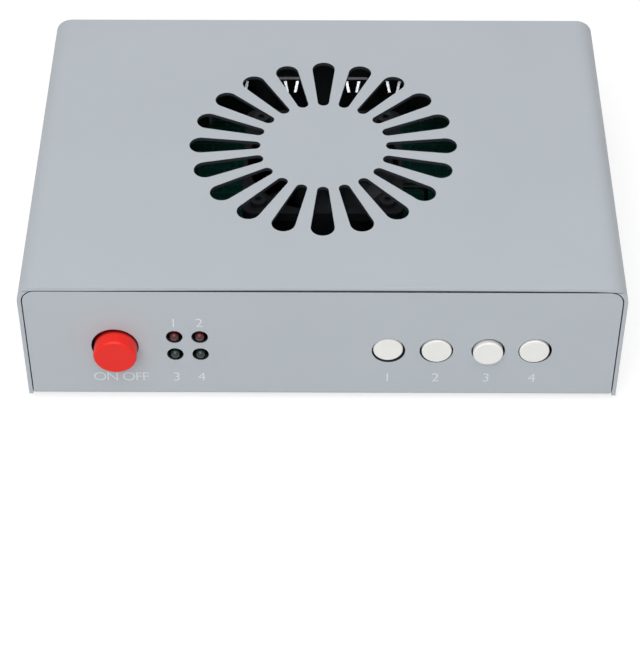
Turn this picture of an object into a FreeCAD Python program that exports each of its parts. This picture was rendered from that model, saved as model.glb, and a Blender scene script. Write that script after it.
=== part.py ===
# Fan-vented bench control box: folded steel cover and tray, key board, main board, heat sink and fan.
# Millimetres. +Z is up, the front panel faces -Y, the origin is at the centre of the overall box's underside.
import FreeCAD
import Part
import math
import os

Vector = FreeCAD.Vector
X_AXIS = Vector(1, 0, 0)
Y_AXIS = Vector(0, 1, 0)
Z_AXIS = Vector(0, 0, 1)

# Case
CASE_WIDTH = 180.0
CASE_DEPTH = 130.0
CASE_HEIGHT = 45.0
SHEET = 1.2
COVER_BEND = 5.6
TRAY_BEND = 1.4
SEAM = 0.35
FLANGE_HEIGHT = 14.0
FLANGE_RELIEF = 9.0

# How far a cutting shape runs past the piece it cuts
PAST = 1.0

# Vent ring in the cover
SLOT_COUNT = 20
SLOT_INNER_AT = 21.5
SLOT_INNER_R = 1.8
SLOT_OUTER_AT = 38.35
SLOT_OUTER_R = 3.65

# Rubber feet
FOOT_HEIGHT = 3.0
FOOT_R = 6.0
FOOT_TAPER = 0.8
FOOT_INSET = 16.0

# Cover screws, through the cover's sides into nuts on the tray's flanges
SCREW_R = 1.5
SCREW_HEAD_R = 2.75
SCREW_HEAD_HEIGHT = 1.3
SCREW_HOLE_R = 1.7
SCREW_REACH = 5.0
COVER_SCREW_RISE = 8.5
COVER_SCREW_INSET = 28.0
NUT_THICK = 2.0
NUT_ACROSS = 5.5
THREAD_PLAY = 0.05
DRIVE_ACROSS = 2.0
DRIVE_DEPTH = 0.8

# Circuit boards
BOARD_THICK = 1.6
KEY_BOARD_SETBACK = 10.3
KEY_BOARD_SIDE_GAP = 11.45
KEY_BOARD_LOW = 9.0
KEY_BOARD_HIGH = 36.0
KEY_BOARD_POST_INSET = 4.0
MAIN_BOARD_SIDE_GAP = 14.8
MAIN_BOARD_RISE = 6.0
MAIN_BOARD_FRONT_GAP = 4.0
MAIN_BOARD_REAR_GAP = 1.0
MAIN_BOARD_POST_INSET = 5.0
BOARD_CORNER = 2.0
POST_R = 2.75
POST_BORE_R = 1.25
POST_FLOOR = 1.0
POST_SCREW_R = 1.2
POST_SCREW_REACH = 4.0
POST_HEAD_R = 2.3
POST_HEAD_HEIGHT = 1.2

# Power switch and its cap
POWER_INSET = 27.7
POWER_LEAN = 0.3
POWER_RISE = 20.8
POWER_HOLE_R = 7.1
POWER_CAP_R = 6.5
POWER_CAP_STAND = 5.1
POWER_CAP_LENGTH = 9.1
POWER_CAP_ROUND = 0.9
POWER_SWITCH_SIDE = 12.0
POWER_SWITCH_HEIGHT = 3.6
POWER_STEM_SIDE = 5.0

# Four keys, placed from the panel's right end; each cap leans and stands a little differently in its hole
KEY_INSET = (70.1, 55.7, 40.1, 26.0)
KEY_LEAN = (-0.12, 0.1, -0.1, -0.25)
KEY_STAND = (-0.3, 0.45, 1.5, 0.45)
KEY_RISE = 19.3
KEY_HOLE_R = 5.05
KEY_CAP_R = 4.5
KEY_CAP_LENGTH = 5.8
KEY_CAP_ROUND = 0.35
KEY_SWITCH_SIDE = 12.0
KEY_SWITCH_HEIGHT = 3.4
KEY_STEM_SIDE = 3.8
STEM_PLAY = 0.05
STEM_SOCKET_DEPTH = 2.6
STEM_BORE_PLAY = 0.15
STEM_ENTRY = 0.6
SWITCH_FLOOR = 0.5
SWITCH_CORNER = 1.0

# Four indicator lamps, two rows of two, placed from the power switch
LAMP_FROM_POWER = 21.8
LAMP_PITCH_X = 7.62
LAMP_LOW_RISE = 17.5
LAMP_PITCH_Z = 7.3
LAMP_HOLE_R = 2.5
LAMP_R = 1.5
LAMP_FLANGE_R = 1.9
LAMP_FLANGE = 1.0
LAMP_LENGTH = 5.3
LAMP_STAND = 1.0
LAMP_SPACER_BORE_R = 1.2

# Heat sink on the power module, under the fan
MODULE_SIDE = 34.0
MODULE_HEIGHT = 2.4
PAD_THICK = 0.5
SINK_BASE = 3.5
SINK_FIN = 2.0
SINK_FIN_COUNT = 11

# Fan
FAN_SIDE = 50.0
FAN_THICK = 15.0
FAN_ROOF_GAP = 5.1
FAN_CORNER = 3.5
FAN_FLANGE = 3.2
FAN_HOLE_INSET = 5.0
FAN_DUCT_INSET = 0.1
FAN_HOLE_R = 2.15
FAN_WALL = 1.1
FAN_BASE = 1.8
FAN_STRUT = 3.0
FAN_STRUT_COUNT = 3
FAN_STRUT_TURN = 30.0
FAN_HUB_R = 11.0
FAN_HUB_WALL = 1.2
FAN_HUB_ROUND = 1.0
FAN_BLADE_TIP_GAP = 0.7
FAN_BLADE_COUNT = 7
FAN_BLADE_THICK = 1.0
FAN_BLADE_ROOT_PITCH = 52.0
FAN_BLADE_TIP_PITCH = 34.0
FAN_BLADE_SWEEP = 14.0
FAN_BLADE_MID_SWEEP = 4.9
FAN_TOP_GAP = 1.0
SHAFT_R = 1.0
SHAFT_PLAY = 0.05
BUSH_R = 2.4
BUSH_HEIGHT = 8.0
STATOR_R = 8.6
STATOR_HEIGHT = 5.0
STATOR_POLES = 4
STATOR_GAP_WIDTH = 2.4
FAN_SCREW_R = 1.4
FAN_SCREW_HEAD_R = 2.6
FAN_SCREW_HEAD = 1.6
FAN_SCREW_BITE = 7.0

# Fan lead and its plug
WIRE_R = 0.6
WIRE_PITCH = 2.0
LEAD_RUN = 8.0
LEAD_BEND = 3.0
LEAD_RISE = 5.0
PLUG_WIDTH = 5.6
PLUG_DEPTH = 4.4
PLUG_HEIGHT = 5.0
SOCKET_HEIGHT = 3.4
SOCKET_WALL = 0.7
SOCKET_PLAY = 0.1

# Rear connectors
JACK_FROM_USB = 14.0
JACK_WIDTH = 9.0
JACK_DEPTH = 13.5
JACK_HEIGHT = 10.8
JACK_AXIS_RISE = 6.3
JACK_ROUNDING = 0.9
JACK_BORE_R = 3.15
JACK_BORE_DEPTH = 9.5
JACK_PIN_R = 1.05
JACK_PIN_ROUND = 0.63
JACK_NOSE = 1.0
USB_INSET = 16.0
USB_WIDTH = 8.94
USB_HEIGHT = 3.26
USB_DEPTH = 7.4
USB_SHELL = 0.3
USB_TONGUE_WIDTH = 6.7
USB_TONGUE = 0.7
USB_TONGUE_REACH = 5.0
CUTOUT_PLAY = 0.3

# Parts standing on the main board; the drivers' places are shares of its half width
DRIVER_SHARE = (-0.3784, -0.1487, 0.1331, 0.3196)
DRIVER_WIDTH = 10.0
DRIVER_THICK = 4.4
DRIVER_HEIGHT = 9.0
DRIVER_SOCKET_HEIGHT = 12.4
DRIVER_SOCKET_SETBACK = 6.15
DRIVER_CLIP = 0.5
DRIVER_CLIP_RISE = 1.1
DRIVER_LEG_WIDTH = 0.9
DRIVER_LEG_DEPTH = 0.75
DRIVER_LEG_HEIGHT = 3.0
DRIVER_LEG_LEAN = 2.3
DRIVER_LEG_TOP_PITCH = 4.2
DRIVER_LEG_FOOT_PITCH = 2.6
CAPACITOR_R = 5.0
CAPACITOR_HEIGHT = 12.0
CAPACITOR_BEVEL = 0.6
CAPACITOR_INSET = (24.0, 12.0)
CAPACITOR_REAR_INSET = (20.8, 33.8)
CHOKE_R = 7.0
CHOKE_BORE_R = 3.2
CHOKE_HEIGHT = 6.5
CHOKE_BEVEL = 1.0
CHOKE_INSET = 22.0
CHOKE_ROW = 20.0
CONTROLLER_SIDE = 14.0
CONTROLLER_HEIGHT = 1.4
CONTROLLER_INSET = 22.0
CONTROLLER_ROW = -16.0
LINK_PIN = 0.64
LINK_PITCH = 2.54
LINK_COUNT = 10
LINK_BODY = 2.5
LINK_X = -10.0
LINK_INSET = 2.5

# Places that follow from the sizes above
CASE_Y = (POWER_CAP_STAND - JACK_NOSE) / 2
PANEL_Y = CASE_Y - CASE_DEPTH / 2
REAR_Y = CASE_Y + CASE_DEPTH / 2
CASE_Z = FOOT_HEIGHT
ROOF_Z = CASE_Z + CASE_HEIGHT
FLANGE_HALF = CASE_WIDTH / 2 - SHEET
TRAY_HALF = FLANGE_HALF - SEAM
TRAY_TOP = ROOF_Z - SHEET - SEAM
FLOOR_Z = CASE_Z + SHEET
POWER_X = -CASE_WIDTH / 2 + POWER_INSET
KEY_X = [CASE_WIDTH / 2 - inset for inset in KEY_INSET]
LAMP_X = POWER_X + LAMP_FROM_POWER
KEY_BOARD_HALF = TRAY_HALF - KEY_BOARD_SIDE_GAP
KEY_BOARD_Y = PANEL_Y + KEY_BOARD_SETBACK
MAIN_BOARD_HALF = FLANGE_HALF - MAIN_BOARD_SIDE_GAP
USB_X = -MAIN_BOARD_HALF + USB_INSET
JACK_X = USB_X + JACK_FROM_USB
MAIN_BOARD_Z = FLOOR_Z + MAIN_BOARD_RISE
DECK_Z = MAIN_BOARD_Z + BOARD_THICK
MAIN_BOARD_FRONT = KEY_BOARD_Y + BOARD_THICK + MAIN_BOARD_FRONT_GAP
MAIN_BOARD_REAR = REAR_Y - SHEET - MAIN_BOARD_REAR_GAP
SINK_Z = DECK_Z + MODULE_HEIGHT + PAD_THICK
FAN_TOP = ROOF_Z - SHEET - FAN_ROOF_GAP
FAN_Z = FAN_TOP - FAN_THICK
FAN_BORE_R = FAN_SIDE / 2 - FAN_DUCT_INSET - FAN_WALL
FAN_HOLE_AT = FAN_SIDE / 2 - FAN_HOLE_INSET
DRIVER_X = [share * MAIN_BOARD_HALF for share in DRIVER_SHARE]
DRIVER_SOCKET_Y = MAIN_BOARD_REAR - DRIVER_SOCKET_SETBACK
DRIVER_FRONT = DRIVER_SOCKET_Y + DRIVER_LEG_LEAN - DRIVER_LEG_DEPTH / 2
DRIVER_LEG_Z = DECK_Z + DRIVER_SOCKET_HEIGHT
DRIVER_Z = DRIVER_LEG_Z + DRIVER_LEG_HEIGHT


def block(x0, x1, y0, y1, z0, z1):
    """A box between two corners."""
    return Part.makeBox(x1 - x0, y1 - y0, z1 - z0, Vector(x0, y0, z0))


def centred_block(x, y, width, depth, z0, z1):
    """A box standing on z0, centred on x and y."""
    return block(x - width / 2, x + width / 2, y - depth / 2, y + depth / 2, z0, z1)


def rod(radius, x, y, z, length, axis=Z_AXIS):
    """A cylinder that starts at a point and runs along an axis."""
    return Part.makeCylinder(radius, length, Vector(x, y, z), axis)


def fuse(shapes):
    """One clean solid from several that touch or overlap."""
    result = shapes[0]
    for shape in shapes[1:]:
        result = result.fuse(shape)
    return result.removeSplitter()


def cut_all(shape, tools):
    """The shape with every tool taken out of it."""
    return shape.cut(Part.makeCompound(tools))


def arched_wire(half, low, high, radius, y):
    """A wire in the XZ plane: straight sides and foot, with the two top corners rounded."""
    bend = radius * (1 - math.sqrt(0.5))
    points = {
        "left_low": Vector(-half, y, low),
        "left_high": Vector(-half, y, high - radius),
        "left_mid": Vector(-half + bend, y, high - bend),
        "left_top": Vector(-half + radius, y, high),
        "right_top": Vector(half - radius, y, high),
        "right_mid": Vector(half - bend, y, high - bend),
        "right_high": Vector(half, y, high - radius),
        "right_low": Vector(half, y, low),
    }
    return Part.Wire([
        Part.LineSegment(points["left_low"], points["left_high"]).toShape(),
        Part.Arc(points["left_high"], points["left_mid"], points["left_top"]).toShape(),
        Part.LineSegment(points["left_top"], points["right_top"]).toShape(),
        Part.Arc(points["right_top"], points["right_mid"], points["right_high"]).toShape(),
        Part.LineSegment(points["right_high"], points["right_low"]).toShape(),
        Part.LineSegment(points["right_low"], points["left_low"]).toShape(),
    ])


def arched_prism(half, low, high, radius, y0, y1):
    """The arched outline pushed along Y."""
    return Part.Face(arched_wire(half, low, high, radius, y0)).extrude(Vector(0, y1 - y0, 0))


def stadium(x, z, width, height, y, depth):
    """A flat-sided oval pushed along Y."""
    radius = height / 2
    reach = width / 2 - radius
    right_top = Vector(x + reach, y, z + radius)
    right_tip = Vector(x + reach + radius, y, z)
    right_low = Vector(x + reach, y, z - radius)
    left_low = Vector(x - reach, y, z - radius)
    left_tip = Vector(x - reach - radius, y, z)
    left_top = Vector(x - reach, y, z + radius)
    wire = Part.Wire([
        Part.LineSegment(left_top, right_top).toShape(),
        Part.Arc(right_top, right_tip, right_low).toShape(),
        Part.LineSegment(right_low, left_low).toShape(),
        Part.Arc(left_low, left_tip, left_top).toShape(),
    ])
    return Part.Face(wire).extrude(Vector(0, depth, 0))


def round_edges(shape, radius, wanted):
    """Fillets the edges that a test picks."""
    return shape.makeFillet(radius, [edge for edge in shape.Edges if wanted(edge)])


def bevel_edges(shape, size, wanted):
    """Bevels the edges that a test picks."""
    return shape.makeChamfer(size, [edge for edge in shape.Edges if wanted(edge)])


def upright(edge):
    """True for a straight edge along Z."""
    return abs(edge.BoundBox.ZLength - edge.Length) < 1e-6 and edge.Length > 0


def along_y(edge):
    """True for a straight edge along Y."""
    return abs(edge.BoundBox.YLength - edge.Length) < 1e-6 and edge.Length > 0


def circle_at_y(y):
    """A test for round edges that lie in the plane at y."""
    return lambda edge: edge.BoundBox.YLength < 1e-6 and abs(edge.BoundBox.YMin - y) < 1e-6


def circle_at_z(z):
    """A test for round edges that lie in the plane at z."""
    return lambda edge: edge.BoundBox.ZLength < 1e-6 and abs(edge.BoundBox.ZMin - z) < 1e-6


def hexagon(across, x, y, z, length, axis):
    """A six-sided bar of a width across its flats."""
    corner = across / math.sqrt(3)
    angles = [math.pi / 3 * i for i in range(7)]
    points = [Vector(corner * math.cos(angle), corner * math.sin(angle), 0) for angle in angles]
    bar = Part.Face(Part.makePolygon(points)).extrude(Vector(0, 0, length))
    bar.Placement = FreeCAD.Placement(Vector(x, y, z), FreeCAD.Rotation(Z_AXIS, axis))
    return bar


def screw(x, y, z, axis, head_r, head_height, shank_r, reach):
    """A socket screw: seat at the point, head standing along the axis, shank the other way."""
    head = Part.makeCylinder(head_r, head_height, Vector(x, y, z), axis)
    shank = Part.makeCylinder(shank_r, reach, Vector(x, y, z), axis * -1)
    top = Vector(x, y, z) + axis * (head_height - DRIVE_DEPTH)
    drive = hexagon(DRIVE_ACROSS, top.x, top.y, top.z, DRIVE_DEPTH, axis)
    return fuse([head, shank]).cut(drive)


def teardrop(x, y, z, height):
    """One vent slot along +X: two circles of different size joined by their outer tangents."""
    lean = (SLOT_INNER_R - SLOT_OUTER_R) / (SLOT_OUTER_AT - SLOT_INNER_AT)
    rise = math.sqrt(1 - lean * lean)

    def point(at, radius, along, across):
        return Vector(x + at + radius * along, y + radius * across, z)

    inner_up = point(SLOT_INNER_AT, SLOT_INNER_R, lean, rise)
    inner_tip = point(SLOT_INNER_AT, SLOT_INNER_R, -1, 0)
    inner_down = point(SLOT_INNER_AT, SLOT_INNER_R, lean, -rise)
    outer_up = point(SLOT_OUTER_AT, SLOT_OUTER_R, lean, rise)
    outer_tip = point(SLOT_OUTER_AT, SLOT_OUTER_R, 1, 0)
    outer_down = point(SLOT_OUTER_AT, SLOT_OUTER_R, lean, -rise)
    wire = Part.Wire([
        Part.LineSegment(inner_up, outer_up).toShape(),
        Part.Arc(outer_up, outer_tip, outer_down).toShape(),
        Part.LineSegment(outer_down, inner_down).toShape(),
        Part.Arc(inner_down, inner_tip, inner_up).toShape(),
    ])
    return Part.Face(wire).extrude(Vector(0, 0, height))


def cover_screw_places():
    """Side, y and z of each cover screw."""
    rise = CASE_Z + COVER_SCREW_RISE
    rows = (PANEL_Y + COVER_SCREW_INSET, REAR_Y - COVER_SCREW_INSET)
    return [(side, y, rise) for side in (-1, 1) for y in rows]


def lamp_places():
    """x and z of the lamps: upper row first, left to right."""
    columns = (LAMP_X - LAMP_PITCH_X / 2, LAMP_X + LAMP_PITCH_X / 2)
    rows = (CASE_Z + LAMP_LOW_RISE + LAMP_PITCH_Z, CASE_Z + LAMP_LOW_RISE)
    return [(x, z) for z in rows for x in columns]


def key_board_post_places():
    """x and z of the posts behind the front panel."""
    reach = KEY_BOARD_HALF - KEY_BOARD_POST_INSET
    rows = (CASE_Z + KEY_BOARD_LOW + KEY_BOARD_POST_INSET, CASE_Z + KEY_BOARD_HIGH - KEY_BOARD_POST_INSET)
    return [(x, z) for z in rows for x in (-reach, reach)]


def main_board_post_places():
    """x and y of the posts on the tray's floor."""
    reach = MAIN_BOARD_HALF - MAIN_BOARD_POST_INSET
    rows = (MAIN_BOARD_FRONT + MAIN_BOARD_POST_INSET, MAIN_BOARD_REAR - MAIN_BOARD_POST_INSET)
    return [(x, y) for y in rows for x in (-reach, reach)]


def fan_hole_places():
    """x and y of the fan's four corner holes."""
    return [(x, CASE_Y + y) for x in (-FAN_HOLE_AT, FAN_HOLE_AT) for y in (-FAN_HOLE_AT, FAN_HOLE_AT)]


def top_cover():
    """Folded cover: roof and two sides, with the ring of tapered slots and the side screw holes."""
    outside = arched_prism(CASE_WIDTH / 2, CASE_Z, ROOF_Z, COVER_BEND, PANEL_Y, REAR_Y)
    inside = arched_prism(CASE_WIDTH / 2 - SHEET, CASE_Z - SHEET, ROOF_Z - SHEET, COVER_BEND - SHEET,
                          PANEL_Y - SHEET, REAR_Y + SHEET)
    slot = teardrop(0, CASE_Y, ROOF_Z - 2 * SHEET, 3 * SHEET)
    tools = []
    for i in range(SLOT_COUNT):
        turned = slot.copy()
        turned.rotate(Vector(0, CASE_Y, 0), Z_AXIS, i * 360 / SLOT_COUNT)
        tools.append(turned)
    for side, y, z in cover_screw_places():
        tools.append(rod(SCREW_HOLE_R, side * CASE_WIDTH / 2 - 2 * SHEET, y, z, 4 * SHEET, X_AXIS))
    return cut_all(outside.cut(inside), tools)


def folded_channel():
    """Front panel, floor strips and rear panel of one bent sheet, the panels rounded to the cover's bend."""
    outside = arched_prism(CASE_DEPTH / 2, -TRAY_TOP, -CASE_Z, TRAY_BEND, -TRAY_HALF, TRAY_HALF)
    inside = arched_prism(CASE_DEPTH / 2 - SHEET, -TRAY_TOP - SHEET, -FLOOR_Z, TRAY_BEND - SHEET,
                          -TRAY_HALF - SHEET, TRAY_HALF + SHEET)
    channel = outside.cut(inside)
    channel.rotate(Vector(0, 0, 0), X_AXIS, 180)
    channel.rotate(Vector(0, 0, 0), Z_AXIS, 90)
    channel.translate(Vector(0, CASE_Y, 0))
    limit = arched_prism(TRAY_HALF, CASE_Z - SHEET, TRAY_TOP, COVER_BEND - SHEET - SEAM, PANEL_Y, REAR_Y)
    middle = block(-CASE_WIDTH, CASE_WIDTH, PANEL_Y + FLANGE_RELIEF, REAR_Y - FLANGE_RELIEF,
                   CASE_Z - SHEET, ROOF_Z)
    return channel.common(limit).cut(middle)


def flanged_floor():
    """The floor between the panels, with a low flange turned up along each side."""
    top = CASE_Z + FLANGE_HEIGHT
    y0, y1 = PANEL_Y + FLANGE_RELIEF, REAR_Y - FLANGE_RELIEF
    outside = arched_prism(FLANGE_HALF, -top, -CASE_Z, TRAY_BEND, -y1, -y0)
    inside = arched_prism(FLANGE_HALF - SHEET, -top - SHEET, -FLOOR_Z, TRAY_BEND - SHEET,
                          -y1 - SHEET, -y0 + SHEET)
    floor = outside.cut(inside)
    floor.rotate(Vector(0, 0, 0), X_AXIS, 180)
    return floor


def jack_outline(play, y0, y1):
    """The power socket's arched section with some play all round, pushed along Y."""
    half = JACK_WIDTH / 2 + play
    prism = arched_prism(half, DECK_Z - play, DECK_Z + JACK_HEIGHT + play, half * JACK_ROUNDING, y0, y1)
    return prism.translate(Vector(JACK_X, 0, 0))


def base_tray():
    """Folded tray: floor, low side flanges, drilled front panel and cut-out rear panel."""
    tray = fuse([folded_channel(), flanged_floor()])
    through = 3 * SHEET
    front = PANEL_Y - SHEET
    rear = REAR_Y - 2 * SHEET
    tools = [rod(POWER_HOLE_R, POWER_X, front, CASE_Z + POWER_RISE, through, Y_AXIS)]
    tools += [rod(KEY_HOLE_R, x, front, CASE_Z + KEY_RISE, through, Y_AXIS) for x in KEY_X]
    tools += [rod(LAMP_HOLE_R, x, front, z, through, Y_AXIS) for x, z in lamp_places()]
    for side, y, z in cover_screw_places():
        tools.append(rod(SCREW_HOLE_R, side * FLANGE_HALF - 2 * SHEET, y, z, 4 * SHEET, X_AXIS))
    tools.append(jack_outline(CUTOUT_PLAY, rear, rear + through))
    tools.append(stadium(USB_X, DECK_Z + USB_HEIGHT / 2, USB_WIDTH + 2 * CUTOUT_PLAY,
                         USB_HEIGHT + 2 * CUTOUT_PLAY, rear, through))
    return cut_all(tray, tools)


def rubber_feet():
    """Four tapered feet stuck under the tray."""
    reach = CASE_WIDTH / 2 - FOOT_INSET
    rows = (PANEL_Y + FOOT_INSET, REAR_Y - FOOT_INSET)
    return [Part.makeCone(FOOT_R - FOOT_TAPER, FOOT_R, FOOT_HEIGHT, Vector(x, y, 0), Z_AXIS)
            for x in (-reach, reach) for y in rows]


def cover_screws():
    """Two screws in each side of the cover."""
    return [screw(side * CASE_WIDTH / 2, y, z, X_AXIS * side, SCREW_HEAD_R, SCREW_HEAD_HEIGHT, SCREW_R,
                  SCREW_REACH) for side, y, z in cover_screw_places()]


def cover_nuts():
    """Nuts on the inner face of the tray's flanges, one for each cover screw."""
    nuts = []
    for side, y, z in cover_screw_places():
        seat = side * (FLANGE_HALF - SHEET)
        nut = hexagon(NUT_ACROSS, seat, y, z, NUT_THICK, X_AXIS * -side)
        thread = rod(SCREW_R + THREAD_PLAY, seat + side * PAST, y, z, NUT_THICK + 2 * PAST, X_AXIS * -side)
        nuts.append(nut.cut(thread))
    return nuts


def key_board():
    """Upright board behind the front panel, with its four screw holes."""
    board = block(-KEY_BOARD_HALF, KEY_BOARD_HALF, KEY_BOARD_Y, KEY_BOARD_Y + BOARD_THICK,
                  CASE_Z + KEY_BOARD_LOW, CASE_Z + KEY_BOARD_HIGH)
    holes = [rod(POST_BORE_R, x, KEY_BOARD_Y - PAST, z, BOARD_THICK + 2 * PAST, Y_AXIS)
             for x, z in key_board_post_places()]
    return cut_all(board, holes)


def panel_posts():
    """Four posts pressed on the back of the front panel."""
    start = PANEL_Y + SHEET
    length = KEY_BOARD_Y - start
    bore_start = start + POST_FLOOR
    return [rod(POST_R, x, start, z, length, Y_AXIS).cut(rod(POST_BORE_R, x, bore_start, z, length, Y_AXIS))
            for x, z in key_board_post_places()]


def key_board_screws():
    """Four screws that hold the key board on its posts."""
    return [screw(x, KEY_BOARD_Y + BOARD_THICK, z, Y_AXIS, POST_HEAD_R, POST_HEAD_HEIGHT, POST_SCREW_R,
                  BOARD_THICK + POST_SCREW_REACH) for x, z in key_board_post_places()]


def switch_body(x, z, side, height, stem_side):
    """Square switch housing on the key board, open in front for its stem."""
    housing = block(x - side / 2, x + side / 2, KEY_BOARD_Y - height, KEY_BOARD_Y, z - side / 2, z + side / 2)
    housing = round_edges(housing, SWITCH_CORNER, along_y)
    bore = stem_side / math.sqrt(2) + STEM_BORE_PLAY
    return housing.cut(rod(bore, x, KEY_BOARD_Y - height, z, height - SWITCH_FLOOR, Y_AXIS))


def switch_stem(x, z, side, cap_back, switch_height):
    """Square stem from inside its housing up into the cap's socket."""
    back = KEY_BOARD_Y - switch_height + STEM_ENTRY
    return block(x - side / 2, x + side / 2, cap_back - STEM_SOCKET_DEPTH, back, z - side / 2, z + side / 2)


def push_cap(x, z, radius, face_y, length, rounding, stem_side):
    """Round cap with a softened face and a square socket behind for the stem."""
    cap = rod(radius, x, face_y, z, length, Y_AXIS)
    cap = round_edges(cap, rounding, circle_at_y(face_y))
    half = stem_side / 2 + STEM_PLAY
    back = face_y + length
    return cap.cut(block(x - half, x + half, back - STEM_SOCKET_DEPTH, back, z - half, z + half))


def power_cap():
    """Tall red cap of the power switch."""
    return push_cap(POWER_X + POWER_LEAN, CASE_Z + POWER_RISE, POWER_CAP_R, PANEL_Y - POWER_CAP_STAND,
                    POWER_CAP_LENGTH, POWER_CAP_ROUND, POWER_STEM_SIDE)


def power_stem():
    """Stem that carries the power cap."""
    cap_back = PANEL_Y - POWER_CAP_STAND + POWER_CAP_LENGTH
    return switch_stem(POWER_X + POWER_LEAN, CASE_Z + POWER_RISE, POWER_STEM_SIDE, cap_back,
                       POWER_SWITCH_HEIGHT)


def power_switch():
    """Latching switch on the key board."""
    return switch_body(POWER_X + POWER_LEAN, CASE_Z + POWER_RISE, POWER_SWITCH_SIDE, POWER_SWITCH_HEIGHT,
                       POWER_STEM_SIDE)


def key_switch(i):
    """Momentary switch number i on the key board."""
    return switch_body(KEY_X[i] + KEY_LEAN[i], CASE_Z + KEY_RISE, KEY_SWITCH_SIDE, KEY_SWITCH_HEIGHT,
                       KEY_STEM_SIDE)


def key_stem(i):
    """Stem of key number i."""
    cap_back = PANEL_Y - KEY_STAND[i] + KEY_CAP_LENGTH
    return switch_stem(KEY_X[i] + KEY_LEAN[i], CASE_Z + KEY_RISE, KEY_STEM_SIDE, cap_back, KEY_SWITCH_HEIGHT)


def key_cap(i):
    """White cap of key number i."""
    return push_cap(KEY_X[i] + KEY_LEAN[i], CASE_Z + KEY_RISE, KEY_CAP_R, PANEL_Y - KEY_STAND[i],
                    KEY_CAP_LENGTH, KEY_CAP_ROUND, KEY_STEM_SIDE)


def lamp(x, z):
    """Round lamp with a domed tip and a flange at its foot."""
    tip = PANEL_Y - LAMP_STAND
    foot = tip + LAMP_LENGTH
    barrel = rod(LAMP_R, x, tip + LAMP_R, z, LAMP_LENGTH - LAMP_R, Y_AXIS)
    dome = Part.makeSphere(LAMP_R, Vector(x, tip + LAMP_R, z))
    flange = rod(LAMP_FLANGE_R, x, foot - LAMP_FLANGE, z, LAMP_FLANGE, Y_AXIS)
    return fuse([barrel, dome, flange])


def lamp_spacers():
    """Four tubes that hold the lamps off the key board."""
    start = PANEL_Y - LAMP_STAND + LAMP_LENGTH
    length = KEY_BOARD_Y - start
    tubes = []
    for x, z in lamp_places():
        bore = rod(LAMP_SPACER_BORE_R, x, start, z, length, Y_AXIS)
        tubes.append(rod(LAMP_FLANGE_R, x, start, z, length, Y_AXIS).cut(bore))
    return tubes


def main_board():
    """Level board on the tray's posts, with its four screw holes."""
    board = block(-MAIN_BOARD_HALF, MAIN_BOARD_HALF, MAIN_BOARD_FRONT, MAIN_BOARD_REAR, MAIN_BOARD_Z, DECK_Z)
    board = round_edges(board, BOARD_CORNER, upright)
    holes = [rod(POST_BORE_R, x, y, MAIN_BOARD_Z - PAST, BOARD_THICK + 2 * PAST)
             for x, y in main_board_post_places()]
    return cut_all(board, holes)


def floor_posts():
    """Four posts pressed in the tray's floor."""
    posts = []
    for x, y in main_board_post_places():
        bore = rod(POST_BORE_R, x, y, FLOOR_Z + POST_FLOOR, MAIN_BOARD_RISE)
        posts.append(rod(POST_R, x, y, FLOOR_Z, MAIN_BOARD_RISE).cut(bore))
    return posts


def main_board_screws():
    """Four screws that hold the main board on its posts."""
    return [screw(x, y, DECK_Z, Z_AXIS, POST_HEAD_R, POST_HEAD_HEIGHT, POST_SCREW_R,
                  BOARD_THICK + POST_SCREW_REACH) for x, y in main_board_post_places()]


def power_module():
    """Flat power module that the heat sink cools."""
    return centred_block(0, CASE_Y, MODULE_SIDE, MODULE_SIDE, DECK_Z, DECK_Z + MODULE_HEIGHT)


def thermal_pad():
    """Soft pad between the module and the heat sink."""
    return centred_block(0, CASE_Y, MODULE_SIDE, MODULE_SIDE, DECK_Z + MODULE_HEIGHT, SINK_Z)


def heat_sink():
    """Extruded heat sink: a base with upright fins along Y."""
    base = centred_block(0, CASE_Y, FAN_SIDE, FAN_SIDE, SINK_Z, SINK_Z + SINK_BASE)
    pitch = (FAN_SIDE - SINK_FIN) / (SINK_FIN_COUNT - 1)
    fins = [centred_block(-FAN_SIDE / 2 + SINK_FIN / 2 + i * pitch, CASE_Y, SINK_FIN, FAN_SIDE, SINK_Z, FAN_Z)
            for i in range(SINK_FIN_COUNT)]
    drills = [rod(FAN_SCREW_R + THREAD_PLAY, x, y, FAN_Z - FAN_SCREW_BITE - PAST, FAN_SCREW_BITE + 2 * PAST)
              for x, y in fan_hole_places()]
    return cut_all(fuse([base] + fins), drills)


def fan_plate(z0, z1):
    """One square flange of the fan frame."""
    plate = centred_block(0, CASE_Y, FAN_SIDE, FAN_SIDE, z0, z1)
    return round_edges(plate, FAN_CORNER, upright)


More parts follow.
